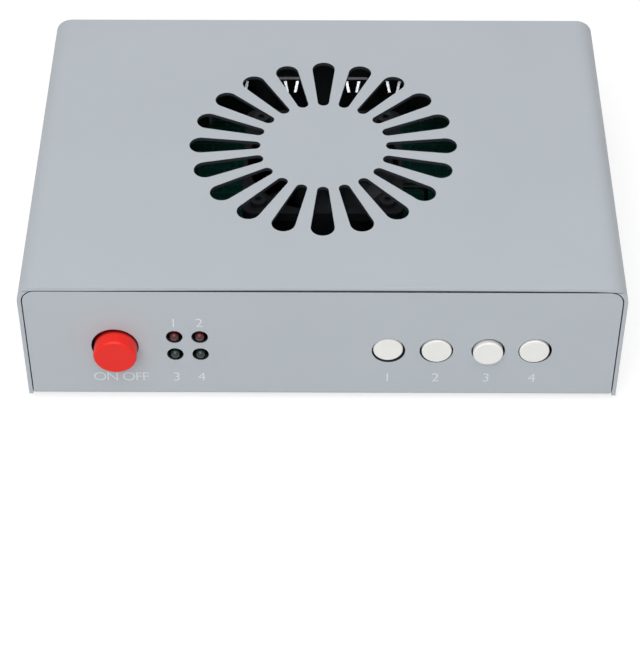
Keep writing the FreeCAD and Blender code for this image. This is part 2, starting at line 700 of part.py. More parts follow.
def fan_frame():
    """Fan frame: two square flanges on a round duct, with a motor seat on three struts."""
    duct = rod(FAN_BORE_R + FAN_WALL, 0, CASE_Y, FAN_Z, FAN_THICK)
    shell = fuse([duct, fan_plate(FAN_Z, FAN_Z + FAN_FLANGE), fan_plate(FAN_TOP - FAN_FLANGE, FAN_TOP)])
    below, through = FAN_Z - PAST, FAN_THICK + 2 * PAST
    holes = [rod(FAN_HOLE_R, x, y, below, through) for x, y in fan_hole_places()]
    shell = cut_all(shell, holes + [rod(FAN_BORE_R, 0, CASE_Y, below, through)])
    struts = []
    for i in range(FAN_STRUT_COUNT):
        strut = block(0, FAN_BORE_R + FAN_WALL / 2, CASE_Y - FAN_STRUT / 2, CASE_Y + FAN_STRUT / 2,
                      FAN_Z, FAN_Z + FAN_BASE)
        strut.rotate(Vector(0, CASE_Y, 0), Z_AXIS, FAN_STRUT_TURN + i * 360 / FAN_STRUT_COUNT)
        struts.append(strut)
    seat = rod(FAN_HUB_R, 0, CASE_Y, FAN_Z, FAN_BASE)
    bush = rod(BUSH_R, 0, CASE_Y, FAN_Z, FAN_BASE + BUSH_HEIGHT)
    bore = rod(SHAFT_R + SHAFT_PLAY, 0, CASE_Y, FAN_Z + FAN_BASE / 2, FAN_THICK)
    return fuse([shell, seat, bush] + struts).cut(bore)


def fan_stator():
    """Wound stator pressed over the bush, with a gap between its poles."""
    z = FAN_Z + FAN_BASE
    bore = rod(BUSH_R + THREAD_PLAY, 0, CASE_Y, z, STATOR_HEIGHT)
    ring = rod(STATOR_R, 0, CASE_Y, z, STATOR_HEIGHT).cut(bore)
    half_gap = STATOR_GAP_WIDTH / 2
    gaps = []
    for i in range(STATOR_POLES):
        gap = block(STATOR_R / 2, STATOR_R + PAST, CASE_Y - half_gap, CASE_Y + half_gap, z, z + STATOR_HEIGHT)
        gap.rotate(Vector(0, CASE_Y, 0), Z_AXIS, 360 / STATOR_POLES * (i + 0.5))
        gaps.append(gap)
    return cut_all(ring, gaps)


def blade_section(radius, pitch, sweep, low, high):
    """Outline of a blade at one radius: a thin slanted strip, turned round the axle by its sweep."""
    height = high - low
    half_run = height / math.tan(math.radians(pitch)) / 2
    skin = FAN_BLADE_THICK / 2 / math.sin(math.radians(pitch))
    corners = [
        Vector(radius, -half_run - skin, low),
        Vector(radius, -half_run + skin, low),
        Vector(radius, half_run + skin, high),
        Vector(radius, half_run - skin, high),
    ]
    turn = FreeCAD.Rotation(Z_AXIS, sweep)
    corners = [turn.multVec(corner) for corner in corners]
    return Part.makePolygon(corners + corners[:1])


def fan_rotor():
    """Fan rotor: cup-shaped hub with its shaft, and twisted, swept blades."""
    top = FAN_TOP - FAN_TOP_GAP
    low = FAN_Z + FAN_BASE + FAN_TOP_GAP
    cup = rod(FAN_HUB_R, 0, 0, low, top - low)
    cup = round_edges(cup, FAN_HUB_ROUND, circle_at_z(top))
    cup = cup.cut(rod(FAN_HUB_R - FAN_HUB_WALL, 0, 0, low, top - low - FAN_HUB_WALL))
    shaft = rod(SHAFT_R, 0, 0, low, top - low - FAN_HUB_WALL)
    root = FAN_HUB_R - FAN_HUB_WALL / 2
    tip = FAN_BORE_R - FAN_BLADE_TIP_GAP
    blade_low, blade_high = low + FAN_HUB_ROUND, top - FAN_HUB_ROUND
    mid = (root + tip) / 2
    mid_pitch = (FAN_BLADE_ROOT_PITCH + FAN_BLADE_TIP_PITCH) / 2
    blade = Part.makeLoft([
        blade_section(root, FAN_BLADE_ROOT_PITCH, 0, blade_low, blade_high),
        blade_section(mid, mid_pitch, FAN_BLADE_MID_SWEEP, blade_low, blade_high),
        blade_section(FAN_BORE_R + FAN_WALL, FAN_BLADE_TIP_PITCH, FAN_BLADE_SWEEP, blade_low, blade_high),
    ], True, True).common(rod(tip, 0, 0, low, top - low))
    blades = []
    for i in range(FAN_BLADE_COUNT):
        turned = blade.copy()
        turned.rotate(Vector(0, 0, 0), Z_AXIS, i * 360 / FAN_BLADE_COUNT)
        blades.append(turned)
    bore = rod(FAN_HUB_R - FAN_HUB_WALL, 0, 0, low - PAST, top - low - FAN_HUB_WALL + PAST)
    rotor = fuse([fuse([cup] + blades).cut(bore), shaft])
    rotor.translate(Vector(0, CASE_Y, 0))
    return rotor


def fan_screws():
    """Four screws down through the fan into the heat sink's fins."""
    return [screw(x, y, FAN_TOP, Z_AXIS, FAN_SCREW_HEAD_R, FAN_SCREW_HEAD, FAN_SCREW_R,
                  FAN_THICK + FAN_SCREW_BITE) for x, y in fan_hole_places()]


def lead_places():
    """y of each wire of the fan lead, where it leaves the fan and enters its plug."""
    return [CASE_Y + side * WIRE_PITCH / 2 for side in (-1, 1)]


def fan_lead():
    """Two wires from the fan's side, over and down into their plug, with one round bend each."""
    start_x = FAN_BORE_R + FAN_WALL
    z = FAN_Z + LEAD_RISE
    foot = DECK_Z + PLUG_HEIGHT
    end_x = FAN_SIDE / 2 + LEAD_RUN
    turn = LEAD_BEND * (1 - math.sqrt(0.5))
    wires = []
    for y in lead_places():
        bend_start = Vector(end_x - LEAD_BEND, y, z)
        bend_mid = Vector(end_x - turn, y, z - turn)
        bend_end = Vector(end_x, y, z - LEAD_BEND)
        path = Part.Wire([
            Part.LineSegment(Vector(start_x, y, z), bend_start).toShape(),
            Part.Arc(bend_start, bend_mid, bend_end).toShape(),
            Part.LineSegment(bend_end, Vector(end_x, y, foot)).toShape(),
        ])
        section = Part.Wire(Part.makeCircle(WIRE_R, Vector(start_x, y, z), X_AXIS))
        wire = path.makePipeShell([section], True, False)
        duct = rod(FAN_BORE_R + FAN_WALL, 0, CASE_Y, FAN_Z, FAN_THICK)
        wires.append(wire.cut(duct))
    return wires


def fan_plug():
    """Small plug at the end of the fan lead."""
    x = FAN_SIDE / 2 + LEAD_RUN
    return centred_block(x, CASE_Y, PLUG_DEPTH, PLUG_WIDTH, DECK_Z + SOCKET_WALL, DECK_Z + PLUG_HEIGHT)


def fan_socket():
    """Open-topped socket on the main board that takes the fan's plug."""
    x = FAN_SIDE / 2 + LEAD_RUN
    wall = 2 * (SOCKET_WALL + SOCKET_PLAY)
    outside = centred_block(x, CASE_Y, PLUG_DEPTH + wall, PLUG_WIDTH + wall, DECK_Z, DECK_Z + SOCKET_HEIGHT)
    inside = centred_block(x, CASE_Y, PLUG_DEPTH + 2 * SOCKET_PLAY, PLUG_WIDTH + 2 * SOCKET_PLAY,
                           DECK_Z + SOCKET_WALL, DECK_Z + SOCKET_HEIGHT + PAST)
    return outside.cut(inside)


def dc_jack():
    """Barrel power socket with a rounded top and a bore for the plug."""
    rear = REAR_Y + JACK_NOSE
    body = jack_outline(0, rear - JACK_DEPTH, rear)
    bore = rod(JACK_BORE_R, JACK_X, rear - JACK_BORE_DEPTH, DECK_Z + JACK_AXIS_RISE,
               JACK_BORE_DEPTH + PAST, Y_AXIS)
    return body.cut(bore)


def dc_jack_pin():
    """Centre pin of the power socket, rounded at its free end."""
    rear = REAR_Y + JACK_NOSE
    start = rear - JACK_BORE_DEPTH
    length = JACK_BORE_DEPTH - JACK_NOSE
    pin = rod(JACK_PIN_R, JACK_X, start, DECK_Z + JACK_AXIS_RISE, length, Y_AXIS)
    return round_edges(pin, JACK_PIN_ROUND, circle_at_y(start + length))


def usb_shell():
    """Drawn steel shell of the data socket, open to the rear."""
    z = DECK_Z + USB_HEIGHT / 2
    start = REAR_Y - USB_DEPTH
    outside = stadium(USB_X, z, USB_WIDTH, USB_HEIGHT, start, USB_DEPTH)
    inside = stadium(USB_X, z, USB_WIDTH - 2 * USB_SHELL, USB_HEIGHT - 2 * USB_SHELL, start + USB_SHELL,
                     USB_DEPTH)
    return outside.cut(inside)


def usb_tongue():
    """Contact tongue in the middle of the data socket."""
    z = DECK_Z + USB_HEIGHT / 2
    start = REAR_Y - USB_DEPTH + USB_SHELL
    return block(USB_X - USB_TONGUE_WIDTH / 2, USB_X + USB_TONGUE_WIDTH / 2, start, start + USB_TONGUE_REACH,
                 z - USB_TONGUE / 2, z + USB_TONGUE / 2)


def driver_bodies():
    """Four power drivers, each held up by its two legs."""
    y = DRIVER_FRONT + DRIVER_THICK / 2
    return [centred_block(x, y, DRIVER_WIDTH, DRIVER_THICK, DRIVER_Z, DRIVER_Z + DRIVER_HEIGHT)
            for x in DRIVER_X]


def driver_sockets():
    """Tall sockets along the rear edge of the main board, one under each driver."""
    return [centred_block(x, DRIVER_SOCKET_Y, DRIVER_WIDTH, DRIVER_THICK, DECK_Z, DRIVER_LEG_Z)
            for x in DRIVER_X]


def driver_clips():
    """A sloped bright rib across the front of each of the two middle drivers."""
    low = DRIVER_Z + DRIVER_CLIP_RISE
    rise = DRIVER_CLIP * DRIVER_LEG_HEIGHT / DRIVER_LEG_LEAN
    ribs = []
    for x in DRIVER_X[1:3]:
        start = x - DRIVER_WIDTH / 2
        section = Part.makePolygon([
            Vector(start, DRIVER_FRONT, low),
            Vector(start, DRIVER_FRONT - DRIVER_CLIP, low),
            Vector(start, DRIVER_FRONT, low + rise),
            Vector(start, DRIVER_FRONT, low),
        ])
        ribs.append(Part.Face(section).extrude(X_AXIS * DRIVER_WIDTH))
    return ribs


def driver_legs():
    """Two splayed legs from each socket, leaning back up to its driver."""
    splay = (DRIVER_LEG_TOP_PITCH - DRIVER_LEG_FOOT_PITCH) / 2
    front = DRIVER_SOCKET_Y - DRIVER_LEG_DEPTH / 2
    legs = []
    for x in DRIVER_X:
        for side in (-1, 1):
            left = x + side * DRIVER_LEG_FOOT_PITCH / 2 - DRIVER_LEG_WIDTH / 2
            section = Part.makePlane(DRIVER_LEG_WIDTH, DRIVER_LEG_DEPTH, Vector(left, front, DRIVER_LEG_Z))
            legs.append(section.extrude(Vector(side * splay, DRIVER_LEG_LEAN, DRIVER_LEG_HEIGHT)))
    return legs


def capacitors():
    """Four can capacitors."""
    cans = []
    for rear_inset in CAPACITOR_REAR_INSET:
        for inset in CAPACITOR_INSET:
            can = rod(CAPACITOR_R, MAIN_BOARD_HALF - inset, MAIN_BOARD_REAR - rear_inset, DECK_Z,
                      CAPACITOR_HEIGHT)
            cans.append(bevel_edges(can, CAPACITOR_BEVEL, circle_at_z(DECK_Z + CAPACITOR_HEIGHT)))
    return cans


def choke():
    """Ring-shaped input choke lying on the board."""
    x, y = CHOKE_INSET - MAIN_BOARD_HALF, CASE_Y + CHOKE_ROW
    ring = rod(CHOKE_R, x, y, DECK_Z, CHOKE_HEIGHT).cut(rod(CHOKE_BORE_R, x, y, DECK_Z, CHOKE_HEIGHT))
    return bevel_edges(ring, CHOKE_BEVEL, circle_at_z(DECK_Z + CHOKE_HEIGHT))


def controller_chip():
    """Flat control chip."""
    x, y = MAIN_BOARD_HALF - CONTROLLER_INSET, CASE_Y + CONTROLLER_ROW
    return centred_block(x, y, CONTROLLER_SIDE, CONTROLLER_SIDE, DECK_Z, DECK_Z + CONTROLLER_HEIGHT)


def board_link():
    """Right-angled pin strip from the key board down to the main board."""
    back = KEY_BOARD_Y + BOARD_THICK
    pin_z = max(DECK_Z, CASE_Z + KEY_BOARD_LOW) + LINK_BODY / 2
    foot_y = MAIN_BOARD_FRONT + LINK_INSET
    half = LINK_PIN / 2
    span = LINK_PITCH * LINK_COUNT
    body = centred_block(LINK_X, back + LINK_BODY / 2, span, LINK_BODY,
                         pin_z - LINK_BODY / 2, pin_z + LINK_BODY / 2)
    pins = []
    for i in range(LINK_COUNT):
        x = LINK_X + (i - (LINK_COUNT - 1) / 2) * LINK_PITCH
        level = block(x - half, x + half, back + LINK_BODY, foot_y + half, pin_z - half, pin_z + half)
        drop = block(x - half, x + half, foot_y - half, foot_y + half, DECK_Z, pin_z + half)
        pins.append(fuse([level, drop]))
    return [body] + pins


def write(name, shape):
    """Saves one node; a list becomes a group of separate solids."""
    if isinstance(shape, list):
        shape = Part.makeCompound(shape)
    for solid in shape.Solids:
        if not solid.isValid() or solid.Volume <= 0:
            raise ValueError(name + " has a bad solid")
    if not shape.Solids:
        raise ValueError(name + " has no solid")
    shape.exportStep("parts/" + name + ".step")
    print(name, len(shape.Solids), round(sum(solid.Volume for solid in shape.Solids), 1))


def main():
    os.makedirs("parts", exist_ok=True)
    singles = [
        top_cover, base_tray, rubber_feet, cover_screws, cover_nuts,
        key_board, panel_posts, key_board_screws, power_switch, power_stem, power_cap, lamp_spacers,
        main_board, floor_posts, main_board_screws, power_module, thermal_pad, heat_sink,
        fan_frame, fan_stator, fan_rotor, fan_screws, fan_lead, fan_plug, fan_socket,
        dc_jack, dc_jack_pin, usb_shell, usb_tongue,
        driver_bodies, driver_sockets, driver_legs, driver_clips,
        capacitors, choke, controller_chip, board_link,
    ]
    for make in singles:
        write(make.__name__, make())
    for i in range(len(KEY_X)):
        write("key_switch_%d" % (i + 1), key_switch(i))
        write("key_stem_%d" % (i + 1), key_stem(i))
        write("key_cap_%d" % (i + 1), key_cap(i))
    for name, (x, z) in zip(("lamp_red_1", "lamp_red_2", "lamp_green_1", "lamp_green_2"), lamp_places()):
        write(name, lamp(x, z))


main()
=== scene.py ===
import math
from itertools import product

import bmesh
import bpy
from mathutils import Color, Euler, Matrix, Vector


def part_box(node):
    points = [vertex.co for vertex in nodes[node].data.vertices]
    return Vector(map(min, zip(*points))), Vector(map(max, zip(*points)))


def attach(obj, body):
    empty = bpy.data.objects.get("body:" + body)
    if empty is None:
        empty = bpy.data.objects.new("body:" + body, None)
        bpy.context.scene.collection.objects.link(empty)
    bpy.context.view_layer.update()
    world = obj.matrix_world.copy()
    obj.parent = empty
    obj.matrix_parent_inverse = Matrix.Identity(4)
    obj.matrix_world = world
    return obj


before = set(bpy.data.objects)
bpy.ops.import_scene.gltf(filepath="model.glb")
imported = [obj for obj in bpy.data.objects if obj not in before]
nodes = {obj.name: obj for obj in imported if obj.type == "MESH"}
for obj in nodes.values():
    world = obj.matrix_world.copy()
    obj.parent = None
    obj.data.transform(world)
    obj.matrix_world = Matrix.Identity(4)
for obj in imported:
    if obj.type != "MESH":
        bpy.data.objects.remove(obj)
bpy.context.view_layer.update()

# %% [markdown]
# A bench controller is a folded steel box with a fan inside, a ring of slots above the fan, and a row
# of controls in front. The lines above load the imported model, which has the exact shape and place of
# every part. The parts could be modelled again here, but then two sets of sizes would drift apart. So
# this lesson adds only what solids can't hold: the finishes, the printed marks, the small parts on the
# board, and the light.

MM = 0.001
KEY_NUMBERS = range(1, 5)

case_low, case_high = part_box("top_cover")
tray_low, tray_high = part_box("base_tray")
panel_y = tray_low.y

# %% [markdown]
# Many finishes share the same few effects. Their nodes could be copied from material to material, but a
# shader node group is built once and placed wherever it is needed, with its own values each time. Three
# small helpers make groups easy to build: one makes an empty group, one links sockets, and one adds
# noise.

# %% Helpers for node groups


def new_group(name, inputs, output, output_kind):
    """An empty shader node group; returns its tree, the node of its inputs and the node of its output."""
    tree = bpy.data.node_groups.new(name, "ShaderNodeTree")
    for input_name, kind in inputs:
        tree.interface.new_socket(input_name, in_out="INPUT", socket_type="NodeSocket" + kind)
    tree.interface.new_socket(output, in_out="OUTPUT", socket_type="NodeSocket" + output_kind)
    return tree, tree.nodes.new("NodeGroupInput"), tree.nodes.new("NodeGroupOutput")


def wire(tree, *pairs):
    """Links sockets two by two, from where a value comes to where it goes."""
    for source, target in pairs:
        tree.links.new(source, target)


def noise_in_group(tree, given, detail):
    """Noise that takes its place and its scale from the group's inputs."""
    noise = tree.nodes.new("ShaderNodeTexNoise")
    noise.inputs["Detail"].default_value = detail
    wire(tree,
         (given.outputs["Vector"], noise.inputs["Vector"]),
         (given.outputs["Scale"], noise.inputs["Scale"]))
    return noise.outputs["Fac"]


PLACE_AND_SCALE = [("Vector", "Vector"), ("Scale", "Float")]
print("inputs of every noise group:", [name for name, kind in PLACE_AND_SCALE])

# %% [markdown]
# Real surfaces are never one even colour, even when new. A slow, soft change of tone over a few
# centimetres reads as paint or plastic. It could be a picture wrapped round each part, but noise has no
# seams and needs no unwrapping. Each finish gives the group its own two colours and its own scale.

# %% A group for slow changes of tone
TONE_DETAIL = 4


def tone_group():
    """Two colours mixed by soft noise."""
    inputs = PLACE_AND_SCALE + [("Dark", "Color"), ("Light", "Color")]
    tree, given, result = new_group("slow_tone", inputs, "Color", "Color")
    mix = tree.nodes.new("ShaderNodeMix")
    mix.data_type = "RGBA"
    wire(tree,
         (noise_in_group(tree, given, TONE_DETAIL), mix.inputs["Factor"]),
         (given.outputs["Dark"], mix.inputs["A"]),
         (given.outputs["Light"], mix.inputs["B"]),
         (mix.outputs["Result"], result.inputs["Color"]))
    return tree


slow_tone = tone_group()
print("group:", slow_tone.name)

# %% [markdown]
# Handling leaves a thin film on plastic and paint, so the gloss changes from place to place. One
# roughness for a whole part would look like a computer's plastic, so a second group lets it wander
# between two limits. Noise seldom reaches 0 or 1, and the Map Range node stretches the part of it that
# does occur.

# %% A group for handled gloss
GLOSS_DETAIL = 3
NOISE_LOW = 0.3
NOISE_HIGH = 0.7


def gloss_group():
    """A roughness that wanders between two limits."""
    inputs = PLACE_AND_SCALE + [("Low", "Float"), ("High", "Float")]
    tree, given, result = new_group("handled_gloss", inputs, "Roughness", "Float")
    spread = tree.nodes.new("ShaderNodeMapRange")
    spread.inputs["From Min"].default_value = NOISE_LOW
    spread.inputs["From Max"].default_value = NOISE_HIGH
    wire(tree,
         (noise_in_group(tree, given, GLOSS_DETAIL), spread.inputs["Value"]),
         (given.outputs["Low"], spread.inputs["To Min"]),
         (given.outputs["High"], spread.inputs["To Max"]),
         (spread.outputs["Result"], result.inputs["Roughness"]))
    return tree


handled_gloss = gloss_group()
print("group:", handled_gloss.name)

# %% [markdown]
# Powder paint has a skin like an orange's, and moulded plastic copies the spark-eroded grain of its
# mould. Both are far too fine to model as geometry, so a third group gives only a height, for a Bump
# node to read. It adds soft noise to the small round cells of a Voronoi texture, which is what a
# pebbled skin looks like close up.

# %% A group for fine grain
GRAIN_DETAIL = 2
CELLS_PER_LUMP = 3.7


def grain_group():
    """The height of a fine pebbled skin: coarse noise with finer cells added."""
    tree, given, result = new_group("fine_grain", PLACE_AND_SCALE + [("Fine", "Float")], "Height", "Float")
    cell_scale = tree.nodes.new("ShaderNodeMath")
    cell_scale.operation = "MULTIPLY"
    cell_scale.inputs[1].default_value = CELLS_PER_LUMP
    cells = tree.nodes.new("ShaderNodeTexVoronoi")
    total = tree.nodes.new("ShaderNodeMath")
    total.operation = "MULTIPLY_ADD"
    wire(tree,
         (given.outputs["Scale"], cell_scale.inputs[0]),
         (given.outputs["Vector"], cells.inputs["Vector"]),
         (cell_scale.outputs["Value"], cells.inputs["Scale"]),
         (cells.outputs["Distance"], total.inputs[0]),
         (given.outputs["Fine"], total.inputs[1]),
         (noise_in_group(tree, given, GRAIN_DETAIL), total.inputs[2]),
         (total.outputs["Value"], result.inputs["Height"]))
    return tree


fine_grain = grain_group()
print("group:", fine_grain.name)

# %% [markdown]
# Every finish here is a Principled shader fed by those three groups. Each material could be wired by
# hand in the editor, but nearly thirty of them would soon differ by accident, so one function wires
# them all. Colours are given as they look on a screen, 0 to 255, and turned to linear light, which is
# what a shader works in. The groups read Object coordinates, so a pattern stays fixed to its part when
# the part moves.

# %% One function that makes a finish
SCREEN_WHITE = 255
FILM_SCALE = 1.7
GRAIN_DEPTH = 0.05 * MM


def linear(red, green, blue):
    """A screen colour as linear light, with full alpha."""
    screen = Color((red / SCREEN_WHITE, green / SCREEN_WHITE, blue / SCREEN_WHITE))
    return (*screen.from_srgb_to_scene_linear(), 1.0)


def place_group(material, group, values):
    """Puts a group in a material, where it reads Object coordinates, and sets its values."""
    tree = material.node_tree
    placed = tree.nodes.new("ShaderNodeGroup")
    placed.node_tree = group
    where = tree.nodes.get("Texture Coordinate") or tree.nodes.new("ShaderNodeTexCoord")
    wire(tree, (where.outputs["Object"], placed.inputs["Vector"]))
    for name, value in values.items():
        placed.inputs[name].default_value = value
    return placed


def finish(name, dark, light, gloss, tone_scale=45, grain_scale=1500, grain_fine=0.4, bump=0.1,
           metallic=0.0, coat=0.0, specular=0.5):
    """A material with slow tone, wandering gloss and a fine grain; scales are in lumps per metre."""
    material = bpy.data.materials.new(name)
    material.use_nodes = True
    tree = material.node_tree
    shader = tree.nodes["Principled BSDF"]
    shader.inputs["Metallic"].default_value = metallic
    shader.inputs["Coat Weight"].default_value = coat
    shader.inputs["Specular IOR Level"].default_value = specular
    tone = place_group(material, slow_tone,
                       {"Scale": tone_scale, "Dark": linear(*dark), "Light": linear(*light)})
    film = place_group(material, handled_gloss,
                       {"Scale": tone_scale * FILM_SCALE, "Low": gloss[0], "High": gloss[1]})
    grain = place_group(material, fine_grain, {"Scale": grain_scale, "Fine": grain_fine})
    lift = tree.nodes.new("ShaderNodeBump")
    lift.inputs["Strength"].default_value = bump
    lift.inputs["Distance"].default_value = GRAIN_DEPTH
    wire(tree,
         (tone.outputs["Color"], shader.inputs["Base Color"]),
         (film.outputs["Roughness"], shader.inputs["Roughness"]),
         (grain.outputs["Height"], lift.inputs["Height"]),
         (lift.outputs["Normal"], shader.inputs["Normal"]))
    return material


print("mid grey in linear light:", round(linear(128, 128, 128)[0], 3))

# %% [markdown]
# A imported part's mesh is never changed, but its material slot may be. The first function below gives a
# finish to any number of parts. Some finishes need one more step between their tone and the shader,
# such as a second colour on the inside. The second function puts such a step in, so that the rest of
# the finish stays as it is.

# %% Functions that use a finish


def dress(material, *names):
    """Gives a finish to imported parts."""
    for name in names:
        mesh = nodes[name].data
        mesh.materials.clear()
        mesh.materials.append(material)


def insert_on_base(material, tone_goes_in, colour_comes_out):
    """Puts a step between a finish's tone and its shader."""
    tree = material.node_tree
    base = tree.nodes["Principled BSDF"].inputs["Base Color"]
    tone = base.links[0].from_socket
    wire(tree, (tone, tone_goes_in), (colour_comes_out, base))


print("parts to dress:", len(nodes))

# %% [markdown]
# The cover and the tray are powder coated outside in one pale blue-grey. The inside of the sheet and
# the cut edges of its slots and holes get painted shade: a dark colour that stands in for the shade
# inside the case, and that is what makes the slots look deep. The parts could be cut into an outer and
# an inner piece, but a point's own coordinates already say which side it is on. So Math nodes work out
# a mask. Two helpers write such sums: one makes a Math node, and one splits a point into X, Y and Z.

# %% Helpers for masks


def math_node(tree, operation, first, second=None):
    """One Math node; each term is a socket or a number."""
    node = tree.nodes.new("ShaderNodeMath")
    node.operation = operation
    for socket, term in zip(node.inputs, (first, second)):
        if isinstance(term, float):
            socket.default_value = term
        elif term is not None:
            wire(tree, (term, socket))
    return node.outputs["Value"]


def object_place(tree):
    """The three coordinates of a point in its object's own frame."""
    split = tree.nodes.new("ShaderNodeSeparateXYZ")
    wire(tree, (tree.nodes["Texture Coordinate"].outputs["Object"], split.inputs["Vector"]))
    return split.outputs


half_width = (case_high.x - case_low.x) / 2
half_depth = (case_high.y - case_low.y) / 2
middle_y = (case_high.y + case_low.y) / 2
print("half the case's width and depth:", round(half_width, 4), round(half_depth, 4))

# %% [markdown]
# The case's outline, seen from the front, is a rectangle with two rounded corners on top. A point is
# inside if it lies nearer the middle than that outline, less the thickness of a coat of paint. Beside
# and above the bends, the distance from the bend's own centre tells it. A point also has to lie between
# the open ends, and above the tray's lower bends, which are painted outside.

# %% The mask of the inside
COAT = 0.06 * MM
COVER_BEND = 5.6 * MM
TRAY_BEND = 1.4 * MM


def past_side_bend(tree, place):
    """How far a point lies beyond the start of the nearer side bend; negative before it."""
    return math_node(tree, "SUBTRACT", math_node(tree, "ABSOLUTE", place["X"]), half_width - COVER_BEND)


def between_ends(tree, place):
    """1 between the case's open ends, 0 on the end faces themselves."""
    along = math_node(tree, "ABSOLUTE", math_node(tree, "SUBTRACT", place["Y"], middle_y))
    return math_node(tree, "LESS_THAN", along, half_depth - COAT)


def inside_mask(tree, place):
    """1 where a point lies within the case's painted skin, 0 on its outer faces and at its open ends."""
    side = math_node(tree, "MAXIMUM", past_side_bend(tree, place), 0.0)
    rise = math_node(tree, "SUBTRACT", place["Z"], case_high.z - COVER_BEND)
    rise = math_node(tree, "MAXIMUM", rise, 0.0)
    side_squared = math_node(tree, "POWER", side, 2.0)
    rise_squared = math_node(tree, "POWER", rise, 2.0)
    from_bend = math_node(tree, "SQRT", math_node(tree, "ADD", side_squared, rise_squared))
    under_skin = math_node(tree, "LESS_THAN", from_bend, COVER_BEND - COAT)
    above_floor = math_node(tree, "GREATER_THAN", place["Z"], case_low.z + TRAY_BEND + COAT)
    within = math_node(tree, "MULTIPLY", under_skin, between_ends(tree, place))
    return math_node(tree, "MULTIPLY", within, above_floor)


print("bend of the cover, mm:", round(COVER_BEND / MM, 2))

# %% [markdown]
# Where the roof's cut edge lies over the front panel there is a thin joint. A real folded sheet bows a
# little, so the joint opens towards its middle, and the shadow in it reads as a dark line that thins
# out towards the bends. A bowed sheet could be modelled, but the imported shape is straight and stays so.
# Instead, the cut edge gets painted shade, dark for a fraction of a millimetre over the joint. A
# parabola gives the bow, and a slope ends it.

# %% The mask of the painted shade in the joint under the roof
SHEET = 1.2 * MM
JOINT_LIP = 0.5 * MM
JOINT_MIDDLE = 16.0 * MM
JOINT_REACH = 88.0 * MM
JOINT_TAPER = 0.05
roof_under = case_high.z - SHEET


def joint_mask(tree, place):
    """1 on the end faces, on the part of the roof's cut edge that gets painted shade for the open joint.
    """
    off_middle = math_node(tree, "SUBTRACT", place["X"], JOINT_MIDDLE)
    share = math_node(tree, "POWER", math_node(tree, "DIVIDE", off_middle, JOINT_REACH), 2.0)
    bow = math_node(tree, "MULTIPLY", math_node(tree, "SUBTRACT", 1.0, share), JOINT_LIP)
    slope = math_node(tree, "MULTIPLY", past_side_bend(tree, place), -JOINT_TAPER)
    opening = math_node(tree, "MINIMUM", bow, slope)
    above_tray = math_node(tree, "GREATER_THAN", place["Z"], tray_high.z)
    under_lip = math_node(tree, "LESS_THAN", math_node(tree, "SUBTRACT", place["Z"], roof_under), opening)
    at_end = math_node(tree, "SUBTRACT", 1.0, between_ends(tree, place))
    return math_node(tree, "MULTIPLY", math_node(tree, "MULTIPLY", above_tray, under_lip), at_end)


print("underside of the roof, mm:", round(roof_under / MM, 2))

# %% [markdown]
# Now the paint itself: almost even from a step back, with a satin gloss and a pebbled skin. The larger
# of the two masks chooses between the outer tone and the painted shade of the inside and the joint.

# %% The case's paint
# Painted shade: this dark colour covers the inside of the case and the joint under the roof.
INSIDE_SHADE = (42, 46, 51)
case_paint = finish("case_paint", (182, 189, 195), (189, 196, 202), (0.42, 0.52), tone_scale=22,
                    grain_scale=1300, grain_fine=0.5, bump=0.16)
paint_tree = case_paint.node_tree
place = object_place(paint_tree)
inside = inside_mask(paint_tree, place)
joint_shade = joint_mask(paint_tree, place)
shaded_places = math_node(paint_tree, "MAXIMUM", inside, joint_shade)
shade_mix = paint_tree.nodes.new("ShaderNodeMix")
shade_mix.data_type = "RGBA"
shade_mix.inputs["B"].default_value = linear(*INSIDE_SHADE)
wire(paint_tree, (shaded_places, shade_mix.inputs["Factor"]))
insert_on_base(case_paint, shade_mix.inputs["A"], shade_mix.outputs["Result"])
dress(case_paint, "top_cover", "base_tray")
print("painted:", "top_cover", "base_tray")

# %% [markdown]
# A push cap gets painted shade at its foot, where little light gets in. An occlusion node could find
# such corners, but it is slow and an exported model loses it. The caps slide along Y, so a point's own
# Y says how near the panel it is, and a darker colour fades in over the last stretch. Two finishes use
# this, so it is a group.

# %% A group for the painted shade at the foot of a push cap
FOOT_SHADE_DEPTH = 1.5 * MM


def foot_group():
    """A tone that fades to a darker colour close to the front panel, as painted shade."""
    inputs = [("Vector", "Vector"), ("Tone", "Color"), ("Foot shade", "Color")]
    tree, given, result = new_group("cap_foot_shade", inputs, "Color", "Color")
    split = tree.nodes.new("ShaderNodeSeparateXYZ")
    fade = tree.nodes.new("ShaderNodeMapRange")
    fade.interpolation_type = "SMOOTHSTEP"
    fade.inputs["From Min"].default_value = panel_y - FOOT_SHADE_DEPTH
    fade.inputs["From Max"].default_value = panel_y
    mix = tree.nodes.new("ShaderNodeMix")
    mix.data_type = "RGBA"
    wire(tree,
         (given.outputs["Vector"], split.inputs["Vector"]),
         (split.outputs["Y"], fade.inputs["Value"]),
         (fade.outputs["Result"], mix.inputs["Factor"]),
         (given.outputs["Tone"], mix.inputs["A"]),
         (given.outputs["Foot shade"], mix.inputs["B"]),
         (mix.outputs["Result"], result.inputs["Color"]))
    return tree


def darken_foot(material, colour):
    """Puts painted shade at the foot into a push cap's finish."""
    foot = place_group(material, cap_foot_shade, {"Foot shade": linear(*colour)})
    insert_on_base(material, foot.inputs["Tone"], foot.outputs["Color"])


cap_foot_shade = foot_group()
print("group:", cap_foot_shade.name)
